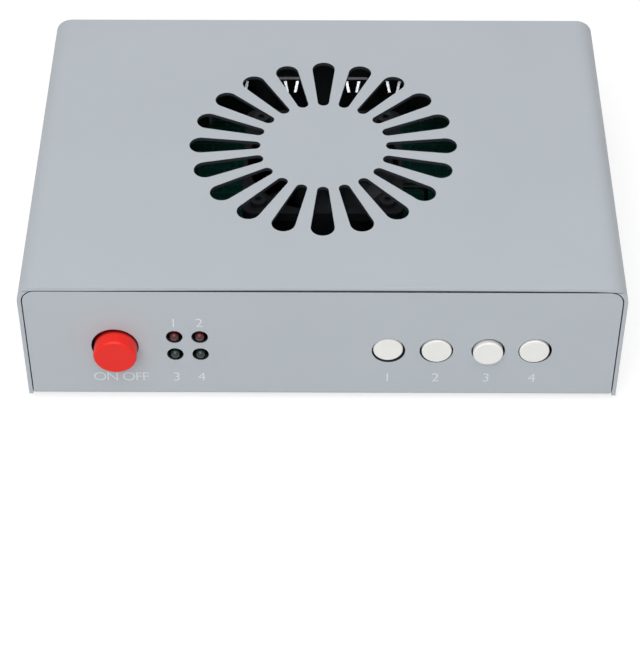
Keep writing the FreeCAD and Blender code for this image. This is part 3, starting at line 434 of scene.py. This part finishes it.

# %% [markdown]
# The controls are moulded plastic. The power cap is a warm red with a soft shine, and the keys are a
# dull off-white. The third key stands further out of its hole than the others, so it has a finish of
# its own, with painted shade at its foot that dims its lit side. The lamps are tinted resin. Real resin
# is clear, but unlit and over a dark hole it looks nearly black, so a plain dark colour with a good
# shine gives the same look and renders faster than glass.

# %% Plastics in front
KEY_TONES = ((242, 242, 238), (249, 249, 246))
KEY_GLOSS = (0.6, 0.7)
LAMP_GLOSS = (0.2, 0.3)
power_red = finish("power_red", (234, 28, 16), (244, 42, 28), (0.3, 0.42), bump=0.06, specular=0.3)
# Painted shade: the red darkens towards the panel, over the cap's foot.
darken_foot(power_red, (110, 10, 8))
key_white = finish("key_white", *KEY_TONES, KEY_GLOSS, bump=0.08, specular=0.3)
shaded_proud_white = finish("shaded_proud_white", *KEY_TONES, KEY_GLOSS, bump=0.08, specular=0.3)
# Painted shade: the third key's side greys towards the panel, so its lit side matches its face.
darken_foot(shaded_proud_white, (198, 198, 194))
lamp_red = finish("lamp_red", (66, 14, 17), (84, 22, 25), LAMP_GLOSS, bump=0.02, specular=0.4)
lamp_green = finish("lamp_green", (16, 36, 34), (26, 48, 45), LAMP_GLOSS, bump=0.02, specular=0.4)
dress(power_red, "power_cap")
dress(key_white, "key_cap_1", "key_cap_2", "key_cap_4")
dress(shaded_proud_white, "key_cap_3")
dress(lamp_red, "lamp_red_1", "lamp_red_2")
dress(lamp_green, "lamp_green_1", "lamp_green_2")
print("finishes so far:", len(bpy.data.materials))

# %% [markdown]
# Inside, the parts have the finishes that such parts are bought in. They are seen only as dark shapes
# through the slots, and could all share one black. But each is right when the cover is lifted off, and
# through the slots the small differences between one black and another are what gives the dark some
# depth. First come the plastics.

# %% Plastics inside and behind
moulded_black = finish("moulded_black", (18, 18, 19), (26, 26, 28), (0.45, 0.6), bump=0.15)
fan_black = finish("fan_black", (14, 16, 20), (18, 20, 25), (0.55, 0.7), bump=0.15, specular=0.2)
rotor_black = finish("rotor_black", (34, 38, 44), (42, 46, 52), (0.5, 0.65), specular=0.3)
epoxy_black = finish("epoxy_black", (30, 30, 31), (38, 38, 40), (0.5, 0.65), grain_scale=2400, bump=0.2)
stem_white = finish("stem_white", (205, 205, 200), (216, 216, 211), (0.4, 0.5))
plug_ivory = finish("plug_ivory", (218, 214, 198), (228, 224, 210), (0.4, 0.5))
dress(moulded_black, "power_switch", "lamp_spacers", "dc_jack", "usb_tongue")
dress(moulded_black, *["key_switch_%d" % number for number in KEY_NUMBERS])
dress(fan_black, "fan_frame", "driver_sockets")
dress(rotor_black, "fan_rotor")
dress(epoxy_black, "power_module", "driver_bodies", "controller_chip", "board_link")
dress(stem_white, "power_stem", *["key_stem_%d" % number for number in KEY_NUMBERS])
dress(plug_ivory, "fan_plug", "fan_socket")
print("finishes so far:", len(bpy.data.materials))

# %% [markdown]
# Next come the metals: zinc on the screws and posts, tin on legs and contacts, black anodised aluminium
# on the heat sink, enamelled copper in the fan's motor. A metal takes its colour from its reflections,
# so Metallic is 1 and the tone's lumps are small. Black oxide is so dull that it looks right as a plain
# dark surface.

# %% Metals
zinc = finish("zinc", (168, 170, 174), (188, 190, 194), (0.28, 0.42), tone_scale=300, metallic=1.0)
bright_tin = finish("bright_tin", (200, 203, 206), (214, 216, 219), (0.2, 0.3), tone_scale=400,
                    metallic=1.0)
dull_tin = finish("dull_tin", (112, 114, 118), (128, 130, 134), (0.4, 0.5), tone_scale=400, metallic=1.0)
black_anodised = finish("black_anodised", (30, 31, 33), (40, 41, 44), (0.35, 0.5), tone_scale=120,
                        metallic=0.6)
copper = finish("copper", (150, 84, 46), (176, 104, 60), (0.25, 0.4), tone_scale=500, metallic=1.0)
black_oxide = finish("black_oxide", (15, 17, 20), (19, 21, 25), (0.5, 0.65), tone_scale=300, specular=0.3)
dress(zinc, "cover_screws", "cover_nuts", "panel_posts", "key_board_screws", "floor_posts",
      "main_board_screws", "usb_shell")
dress(bright_tin, "driver_legs", "dc_jack_pin")
dress(dull_tin, "driver_clips")
dress(black_anodised, "heat_sink")
dress(copper, "fan_stator")
dress(black_oxide, "fan_screws")
print("finishes so far:", len(bpy.data.materials))

# %% [markdown]
# The rest is soft or brittle: rubber feet, the silicone pad under the heat sink, the fan's two wires,
# the shrunk sleeves of the capacitors and the sintered ring of the choke. Their roughness tells them
# apart: rubber and ferrite are dull and grainy, and a sleeve has a clear coat.

# %% Rubber, sleeves and ferrite
foot_rubber = finish("foot_rubber", (26, 26, 26), (36, 36, 36), (0.7, 0.85), grain_scale=1800, bump=0.3)
pad_grey = finish("pad_grey", (128, 134, 142), (142, 148, 156), (0.7, 0.85), bump=0.25)
lead_black = finish("lead_black", (9, 10, 11), (14, 15, 16), (0.5, 0.65), specular=0.3)
can_sleeve = finish("can_sleeve", (28, 30, 48), (36, 38, 58), (0.2, 0.32), coat=0.3)
ferrite = finish("ferrite", (48, 50, 54), (60, 62, 66), (0.6, 0.75), bump=0.3)
dress(foot_rubber, "rubber_feet")
dress(pad_grey, "thermal_pad")
dress(lead_black, "fan_lead")
dress(can_sleeve, "capacitors")
dress(ferrite, "choke")
print("finishes so far:", len(bpy.data.materials))

# %% [markdown]
# A circuit board is green lacquer over copper. Where copper lies under the lacquer it is a little
# lighter, and the tracks run along the board's two directions. Tracks could be drawn one by one, but
# nobody can follow them through the slots. A Brick texture gives straight joints in two directions
# without drawing any circuit. It lies in the plane of X and Y, so on the upright board a Mapping node
# turns it.

# %% The boards' lacquer
LACQUER_DARK = (18, 62, 56)
LACQUER_LIGHT = (22, 72, 64)
LACQUER_TRACK = (32, 86, 76)
TRACK_SCALE = 60
TRACK_WIDTH = 0.02
UPRIGHT = (math.pi / 2, 0, 0)
LEVEL = (0, 0, 0)


def lacquer(name, turned):
    """Green board lacquer with a hint of tracks, turned into the board's own plane."""
    material = finish(name, LACQUER_DARK, LACQUER_LIGHT, (0.22, 0.34), tone_scale=60, bump=0.05, coat=0.2)
    tree = material.node_tree
    turn = tree.nodes.new("ShaderNodeMapping")
    turn.inputs["Rotation"].default_value = turned
    tracks = tree.nodes.new("ShaderNodeTexBrick")
    tracks.inputs["Scale"].default_value = TRACK_SCALE
    tracks.inputs["Mortar Size"].default_value = TRACK_WIDTH
    tracks.inputs["Color2"].default_value = linear(*LACQUER_LIGHT)
    tracks.inputs["Mortar"].default_value = linear(*LACQUER_TRACK)
    wire(tree,
         (tree.nodes["Texture Coordinate"].outputs["Object"], turn.inputs["Vector"]),
         (turn.outputs["Vector"], tracks.inputs["Vector"]))
    insert_on_base(material, tracks.inputs["Color1"], tracks.outputs["Color"])
    return material


dress(lacquer("lacquer_level", LEVEL), "main_board")
dress(lacquer("lacquer_upright", UPRIGHT), "key_board")
print("boards:", "main_board", "key_board")

# %% [markdown]
# Marks beside the controls are printed in a thin pale ink. They could be a mask in the paint, but a
# mark with a shape of its own stays sharp at any size. Text starts as a font curve, becomes a mesh, and
# is then turned upright and pressed on the panel, so that its place is in its points and its object
# stays at the origin.

# %% A function that prints a mark
INK_THICK = 0.02 * MM
CAPITAL_SHARE = 0.7
STROKE_CUT = 0.012
LETTER_SPACE = 0.88
ink = finish("panel_ink", (222, 227, 232), (231, 235, 239), (0.45, 0.6), tone_scale=200)


def add_object(name, data):
    """A new object in the scene, at the origin."""
    thing = bpy.data.objects.new(name, data)
    bpy.context.scene.collection.objects.link(thing)
    return thing


def text_mesh(name, words, height):
    """Thin letters of a given height as a mesh, lying in the plane of X and Y."""
    curve = bpy.data.curves.new(name, "FONT")
    curve.body = words
    curve.align_x = "CENTER"
    curve.size = height / CAPITAL_SHARE
    curve.space_character = LETTER_SPACE
    curve.offset = -STROKE_CUT * curve.size
    curve.extrude = INK_THICK
    maker = add_object(name + "_curve", curve)
    graph = bpy.context.evaluated_depsgraph_get()
    mesh = bpy.data.meshes.new_from_object(maker.evaluated_get(graph))
    bpy.data.objects.remove(maker)
    return mesh


def printed(name, words, x, z, height):
    """One mark in ink on the front panel, centred on x with its foot at z."""
    mesh = text_mesh(name, words, height)
    upright = Euler(UPRIGHT).to_matrix().to_4x4()
    mesh.transform(Matrix.Translation((x, panel_y, z)) @ upright)
    mesh.materials.clear()
    mesh.materials.append(ink)
    mark = add_object(name, mesh)
    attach(mark, "case")
    return mark


print("ink:", ink.name)

# %% [markdown]
# The marks are plain numbers: 1 to 4 under the keys, 1 to 4 over and under the lamps, and ON OFF at the
# power button. Each takes its place across the panel from the part that it belongs to, so it can't
# drift away from it.

# %% Printed marks
MARK_HEIGHT = 3.6 * MM
LOW_MARK_RISE = 6.0 * MM
HIGH_MARK_RISE = 29.0 * MM
POWER_MARK_SHIFT = 0.8 * MM
low_foot = case_low.z + LOW_MARK_RISE
high_foot = case_low.z + HIGH_MARK_RISE


def middle_x(node):
    """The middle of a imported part, across the panel."""
    low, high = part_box(node)
    return (low.x + high.x) / 2


marks = []
for number in KEY_NUMBERS:
    key_x = middle_x("key_cap_%d" % number)
    marks.append(printed("mark_key_%d" % number, str(number), key_x, low_foot, MARK_HEIGHT))
for column in (1, 2):
    red_x = middle_x("lamp_red_%d" % column)
    green_x = middle_x("lamp_green_%d" % column)
    below = column + 2
    marks.append(printed("mark_lamp_%d" % column, str(column), red_x, high_foot, MARK_HEIGHT))
    marks.append(printed("mark_lamp_%d" % below, str(below), green_x, low_foot, MARK_HEIGHT))
power_x = middle_x("power_cap") + POWER_MARK_SHIFT
marks.append(printed("mark_power", "ON OFF", power_x, low_foot, MARK_HEIGHT))
print("marks:", len(marks))

# %% [markdown]
# New solid pieces start as a bmesh cube, which is scaled to size, moved into place and bevelled,
# because no moulded or stamped edge is perfectly sharp and a bevel catches the light. Many blocks go
# into one bmesh, and the bmesh then becomes one piece that rides on the case.

# %% Functions for small blocks
BLOCK_SEGMENTS = 2


def block(mesh, centre, size, rounding):
    """Adds a bevelled block to a bmesh."""
    made = bmesh.ops.create_cube(mesh, size=1.0)["verts"]
    bmesh.ops.scale(mesh, vec=size, verts=made)
    bmesh.ops.translate(mesh, vec=centre, verts=made)
    edges = list({edge for vert in made for edge in vert.link_edges})
    bmesh.ops.bevel(mesh, geom=edges, offset=rounding, segments=BLOCK_SEGMENTS, profile=0.5,
                    affect="EDGES", material=-1)


def keep(name, mesh, material):
    """Turns a bmesh into a piece that rides on the case."""
    data = bpy.data.meshes.new(name)
    mesh.to_mesh(data)
    mesh.free()
    data.materials.append(material)
    piece = add_object(name, data)
    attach(piece, "case")
    return piece


print("sides of a rounded edge:", BLOCK_SEGMENTS)

# %% [markdown]
# The main board carries small surface parts: resistors and capacitors with bright ends. Each is a dark
# block with two tinned caps. They could be spread by a particle system, but real ones stand in rows, so
# a short list of columns and one of rows on each side place them where the slots let light fall.

# %% Small parts on the main board
CHIP = Vector((2.0, 1.25, 0.6)) * MM
CHIP_END = Vector((0.4, 1.27, 0.62)) * MM
CHIP_EDGE = 0.05 * MM
RIGHT_COLUMNS = (38, 44)
RIGHT_ROWS = (-36, -32, -28, -2, 2, 6, 10)
LEFT_COLUMNS = (-44, -38, -32)
LEFT_ROWS = (-30, -26, -22, 4, 8)

board_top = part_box("main_board")[1].z
chip_places = [*product(RIGHT_COLUMNS, RIGHT_ROWS), *product(LEFT_COLUMNS, LEFT_ROWS)]
bodies = bmesh.new()
ends = bmesh.new()
for x, y in chip_places:
    centre = Vector((x * MM, y * MM, board_top + CHIP.z / 2))
    block(bodies, centre, (CHIP.x - 2 * CHIP_END.x, CHIP.y, CHIP.z), CHIP_EDGE)
    for side in (-1, 1):
        to_end = Vector((side * (CHIP.x - CHIP_END.x) / 2, 0, (CHIP_END.z - CHIP.z) / 2))
        block(ends, centre + to_end, CHIP_END, CHIP_EDGE)
keep("chip_bodies", bodies, epoxy_black)
keep("chip_ends", ends, bright_tin)
print("small parts:", len(chip_places))

# %% [markdown]
# The data socket's tongue has a row of flat contacts on both faces. They are thin gilt strips, so they
# are blocks too, laid side by side by a loop, with their tips just short of the tongue's edge.

# %% Contacts on the data socket's tongue
CONTACT = Vector((0.25, 3.6, 0.04)) * MM
CONTACT_COUNT = 12
CONTACT_PITCH = 0.5 * MM
CONTACT_INSET = 0.4 * MM
CONTACT_EDGE = 0.01 * MM

gilt = finish("gilt", (196, 158, 84), (212, 176, 100), (0.2, 0.3), tone_scale=500, metallic=1.0)
tongue_low, tongue_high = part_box("usb_tongue")
contact_y = tongue_high.y - CONTACT_INSET - CONTACT.y / 2
contact_levels = (tongue_low.z - CONTACT.z / 2, tongue_high.z + CONTACT.z / 2)
contacts = bmesh.new()
for step in range(CONTACT_COUNT):
    contact_x = middle_x("usb_tongue") + (step - (CONTACT_COUNT - 1) / 2) * CONTACT_PITCH
    for contact_z in contact_levels:
        block(contacts, Vector((contact_x, contact_y, contact_z)), CONTACT, CONTACT_EDGE)
keep("usb_contacts", contacts, gilt)
print("contacts:", CONTACT_COUNT * len(contact_levels))

# %% [markdown]
# The set is plain white. More light on a white room would wash out the box, so the Light Path node
# keeps the two apart: a ray that comes from the camera, or by way of gloss or glass, finds a full white
# world, and the rays that light the box find a dimmer one.

# %% A white world
WORLD_LIGHT = 0.3
WORLD_SEEN = 1.0
WHITE = (1, 1, 1, 1)


def looked_at(tree):
    """1 where the camera sees a surface, straight on or by way of gloss or glass."""
    rays = tree.nodes.new("ShaderNodeLightPath").outputs
    mirrored = math_node(tree, "MAXIMUM", rays["Is Glossy Ray"], rays["Is Transmission Ray"])
    return math_node(tree, "MAXIMUM", rays["Is Camera Ray"], mirrored)


world = bpy.data.worlds.new("white_room")
bpy.context.scene.world = world
world.use_nodes = True
world_tree = world.node_tree
sky = world_tree.nodes["Background"]
sky.inputs["Color"].default_value = WHITE
level = world_tree.nodes.new("ShaderNodeMapRange")
level.inputs["To Min"].default_value = WORLD_LIGHT
level.inputs["To Max"].default_value = WORLD_SEEN
wire(world_tree,
     (looked_at(world_tree), level.inputs["Value"]),
     (level.outputs["Result"], sky.inputs["Strength"]))
print("world:", world.name)

# %% [markdown]
# The box stands on a pale floor that runs out of sight. A floor lit to full white would throw too much
# light up at the front panel, so its paint is a mid grey, and a glow that only the camera sees lifts it
# to white. The glow is weaker near the box, so that the box's soft shadow still shows, and full further
# out, so that no horizon shows in a low view.

# %% The floor
FLOOR_HALF = 6.0
FLOOR_GREY = (0.5, 0.5, 0.5, 1)
FLOOR_ROUGHNESS = 0.9
GLOW_RANGE = {"From Min": 0.3, "From Max": 1.0, "To Min": 0.65, "To Max": 1.0}


def floor_finish():
    """A dull grey that glows white to the camera, fully so away from the middle."""
    material = bpy.data.materials.new("floor_paint")
    material.use_nodes = True
    tree = material.node_tree
    shader = tree.nodes["Principled BSDF"]
    shader.inputs["Base Color"].default_value = FLOOR_GREY
    shader.inputs["Roughness"].default_value = FLOOR_ROUGHNESS
    shader.inputs["Specular IOR Level"].default_value = 0.0
    shader.inputs["Emission Color"].default_value = WHITE
    where = tree.nodes.new("ShaderNodeTexCoord")
    reach = tree.nodes.new("ShaderNodeVectorMath")
    reach.operation = "LENGTH"
    fade = tree.nodes.new("ShaderNodeMapRange")
    for name, value in GLOW_RANGE.items():
        fade.inputs[name].default_value = value
    wire(tree,
         (where.outputs["Object"], reach.inputs[0]),
         (reach.outputs["Value"], fade.inputs["Value"]))
    glow = math_node(tree, "MULTIPLY", looked_at(tree), fade.outputs["Result"])
    wire(tree, (glow, shader.inputs["Emission Strength"]))
    return material


floor_mesh = bmesh.new()
bmesh.ops.create_grid(floor_mesh, x_segments=1, y_segments=1, size=FLOOR_HALF)
floor_data = bpy.data.meshes.new("floor")
floor_mesh.to_mesh(floor_data)
floor_mesh.free()
floor_data.materials.append(floor_finish())
floor = add_object("floor", floor_data)
print("floor, metres across:", 2 * FLOOR_HALF)

# %% [markdown]
# Three wide lamps light the box, because wide lamps give soft shadows. The one in front lights the
# front panel, and the one above lights the roof a little more, as in the photograph. A faint one behind
# keeps the rear panel from going dull. One lamp would do for the photograph's own view, but not for
# views from behind.

# %% Lamps
LAMP_AIM = Vector((0, 0, 0.03))
LAMPS = (
    ("front_lamp", Vector((-0.2, -1.1, 0.9)), 1.3, 10.3),
    ("top_lamp", Vector((-0.1, -0.5, 1.2)), 1.1, 7.0),
    ("rear_lamp", Vector((0.0, 1.2, 0.25)), 0.8, 1.6),
)


def soft_lamp(name, place, size, power):
    """A square area lamp that points at the box; size in metres, power in watts."""
    data = bpy.data.lights.new(name, "AREA")
    data.size = size
    data.energy = power
    lamp = add_object(name, data)
    lamp.location = place
    lamp.rotation_euler = (LAMP_AIM - place).to_track_quat("-Z", "Y").to_euler()


for lamp_values in LAMPS:
    soft_lamp(*lamp_values)
print("lamps:", len(LAMPS))

# %% [markdown]
# The camera stands where the photograph was taken from: about 70 cm away, looking down at about 45
# degrees, with a long lens, so that the box's sides close in only slightly. It could be set by eye, but
# here the figures come from fitting the box's edges and the ring of slots to the photograph. The lens
# is worked out from the photograph's longer side, because Blender lays the sensor's width along the
# longer side.

# %% Camera
CAMERA_AT = Vector((1.44, -519.3, 481.1)) * MM
CAMERA_PITCH = 44.82
CAMERA_YAW = 0.27
IMAGE_LONG_SIDE = 652
FOCAL_PIXELS = 2153
SENSOR_WIDTH = 36

case_foot = Vector((0, middle_y, case_low.z))
camera_data = bpy.data.cameras.new("camera")
camera_data.sensor_width = SENSOR_WIDTH
camera_data.lens = SENSOR_WIDTH * FOCAL_PIXELS / IMAGE_LONG_SIDE
camera = add_object("camera", camera_data)
camera.location = case_foot + CAMERA_AT
camera.rotation_euler = (math.radians(90 - CAMERA_PITCH), 0, math.radians(CAMERA_YAW))
bpy.context.scene.camera = camera
bpy.context.scene.view_settings.view_transform = "Standard"
print("camera at", [round(v, 3) for v in camera.location])
